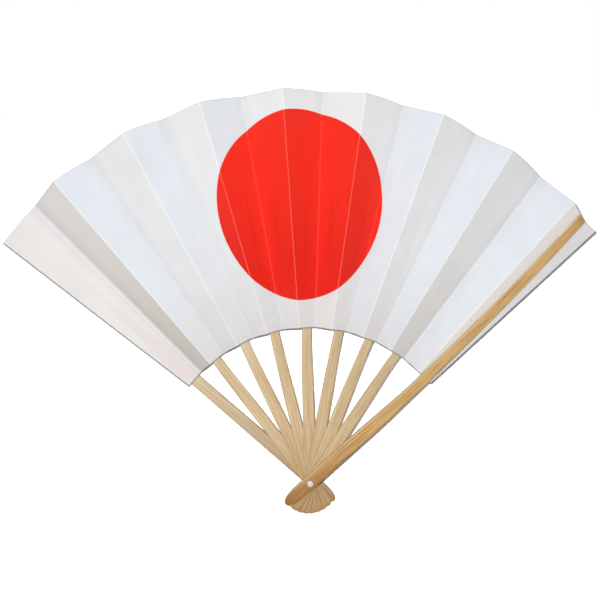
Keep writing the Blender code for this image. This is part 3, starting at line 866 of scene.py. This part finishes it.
def makeBamboo(name, look):
    # bamboo wood: straight pale fibres with thin darker bundles that run the whole length, never a wood figure
    material, tree = newMaterial(name)
    grain = addNode(tree, "UVMap", {"uv_map": "grain"})
    noises = {}
    for pattern, (wide, long, detail, rough) in {"fine": look["fine"], **grainNoise}.items():
        place = addNode(tree, "Mapping", {"Scale": (1 / wide, 1 / long, 1)}, {0: grain})
        noises[pattern] = addNode(tree, "TexNoise", {"Scale": 1.0, "Detail": detail, "Roughness": rough},
                                  {"Vector": place})
    toned = addNode(tree, "MapRange", {"From": (0.3, 0.7)}, {"Value": noises["broad"]})
    lined = addNode(tree, "MapRange", {"From": (0.42, 0.64), "To": (0, look["fineShare"])},
                    {"Value": noises["fine"]})
    bundled = addNode(tree, "MapRange", {"From": (0.57, 0.68), "To": (0, look["bundles"])},
                      {"Value": noises["bundle"]})
    # darker towards the tail; along the left edge painted shade on the ribs, a pale strip of cut wood and painted
    # highlight on the guard; painted shade along the right edge, least at the tail
    own = addNode(tree, "UVMap", {"uv_map": "span"})
    aside, along = addNode(tree, "SeparateXYZ", None, {0: own}).outputs[:2]
    half = look["half"]
    # darker towards the tail
    darkerTail = addNode(tree, "MapRange", {"From": (stickReaches["from"], look["handledTo"]), "To": (1, 0)},
                      {"Value": along})
    # painted shade along the ribs' left edge; on the guard a pale strip, partly its cut wood and partly painted
    # highlight
    atLeft = addNode(tree, "MapRange",
                     {**smooth, "From": (-half, look["leftWidth"] - half), "To": (look["leftEdge"], 0)},
                     {"Value": aside})
    atRight = addNode(tree, "MapRange",
                      {**smooth, "From": (half - look["rightWidth"], half), "To": (0, look["rightEdge"])},
                      {"Value": aside})
    pastRivet = addNode(tree, "MapRange",
                        {**smooth, "From": stickReaches["scorch"], "To": (stickReaches["edgeShadeLeast"], 1)},
                        {"Value": along})
    rightEdgeShade = addNode(tree, "Math", {"operation": "MULTIPLY"}, {0: atRight, 1: pastRivet})
    atTip = addNode(tree, "MapRange", {**smooth, "From": singe["reach"], "To": (0, singe["share"])},
                    {"Value": along})
    colour = addNode(tree, "Mix", {**blended, 6: look["light"], 7: look["warm"]}, {0: toned})
    for tone, depth, way in (
        (look["line"], lined, blended), (look["bundle"], bundled, blended), (look["worn"], darkerTail, stained),
        (look["leftTone"], atLeft, blended), (look["scorch"], rightEdgeShade, blended), (singe["tone"], atTip, blended),
    ):
        colour = addNode(tree, "Mix", {**way, 7: tone}, {0: depth, 6: colour})
    roughness = addNode(tree, "MapRange", {"To": (look["gloss"], look["gloss"] + 0.15)},
                        {"Value": noises["fine"]})
    bump = addNode(tree, "Bump", {"Strength": 0.5, "Distance": 0.00006}, {"Height": noises["fine"]})
    shader = addNode(tree, "BsdfPrincipled", {"IOR": 1.5},
                     {"Base Color": colour, "Roughness": roughness, "Normal": bump})
    addNode(tree, "OutputMaterial", None, {"Surface": shader})
    return material


bambooLooks = {
    "planedBamboo": {
        "light": "#F3DFBA", "warm": "#EBD2A8", "line": "#CFB082", "bundle": "#DFB16E", "worn": "#D3C0A2",
        "leftTone": "#9C8763", "scorch": "#5C4A30", "fine": (0.0011, 0.030, 3.0, 0.6), "fineShare": 0.65,
        "bundles": 0.45, "gloss": 0.5, "half": 0.0041, "handledTo": 0.10, "leftEdge": 0.45, "leftWidth": 0.0006,
        "rightEdge": 0.85, "rightWidth": 0.0008,
    },
    "smokedBambooSkin": {
        "light": "#F3C985", "warm": "#EBBB75", "line": "#B37835", "bundle": "#F9DCAC", "worn": "#B99E66",
        "leftTone": "#E3CBA4", "scorch": "#4A2F14", "fine": (0.0012, 0.030, 3.0, 0.6), "fineShare": 0.6,
        "bundles": 0.45, "gloss": 0.48, "half": 0.0048, "handledTo": 0.085, "leftEdge": 0.6, "leftWidth": 0.0019,
        "rightEdge": 1.0, "rightWidth": 0.0011,
    },
}
bambooLooks["planedBambooGuard"] = dict(bambooLooks["planedBamboo"], light="#E3CFAF", warm="#DAC39E",
                                        line="#C1A47B", bundle="#D2A86C", half=0.0043)
bamboo = {name: makeBamboo(name, look) for name, look in bambooLooks.items()}
# the finish of a stick and of its outer face, where they aren't plain planed bamboo
stickFaces = {0: ("planedBambooGuard", "planedBambooGuard"), frontStick: ("planedBamboo", "smokedBambooSkin")}
sticks = [makeStick("rearGuard", 0, seats["rearGuard"], 1, level=True)]
firstRib = makeStick("ribStick1", 1, seats["firstRib"], -1)
for stick in range(1, frontStick):
    rib = firstRib
    if stick > 1:
        makeActive(firstRib)
        bpy.ops.object.duplicate(linked=False)
        rib = bpy.context.object
        rib.name = rib.data.name = f"ribStick{stick}"
        rib.location.z = fan["pitch"] * (stick - 1)
        for corner in rib.data.uv_layers["grain"].data:
            corner.uv += culm * (stick - 1)
    sticks.append(rib)
sticks.append(makeStick("frontGuard", frontStick, seats["frontGuard"], 1, bow=1))
for stick, piece in enumerate(sticks):
    swingStick(piece, stick)
    for slot, name in enumerate(stickFaces.get(stick, ("planedBamboo", "planedBamboo"))):
        piece.data.materials[slot] = bamboo[name]
    body = stickBody(stick)
    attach(piece, body)
    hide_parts(body)
print("sticks made:", len(sticks))

# Rivet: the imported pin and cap, in moulded white plastic
rivet = {"colour": "#E6E5E2", "shade": "#D8D6D1", "mottle": 0.0015}


def makePlastic(name, look):
    # injection-moulded nylon: a soft even gloss over a slightly milky white
    material, tree = newMaterial(name)
    place = addNode(tree, "TexCoord").outputs["Object"]
    placed = addNode(tree, "Mapping", {"Scale": (1 / look["mottle"],) * 3}, {0: place})
    mottle = addNode(tree, "TexNoise", {"Scale": 1.0, "Detail": 2.0}, {"Vector": placed})
    colour = addNode(tree, "Mix", {**blended, 6: look["colour"], 7: look["shade"]}, {0: mottle})
    roughness = addNode(tree, "MapRange", {"To": (0.4, 0.5)}, {"Value": mottle})
    bump = addNode(tree, "Bump", {"Strength": 0.15, "Distance": 0.00005}, {"Height": mottle})
    shader = addNode(tree, "BsdfPrincipled", {"IOR": 1.53},
                     {"Base Color": colour, "Roughness": roughness, "Normal": bump})
    addNode(tree, "OutputMaterial", None, {"Surface": shader})
    return material


whiteNylon = makePlastic("whiteNylon", rivet)
for node in ("rivet_pin", "rivet_cap"):
    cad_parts[node].data.materials.clear()
    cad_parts[node].data.materials.append(whiteNylon)
print("rivet finished")

deselectAll()
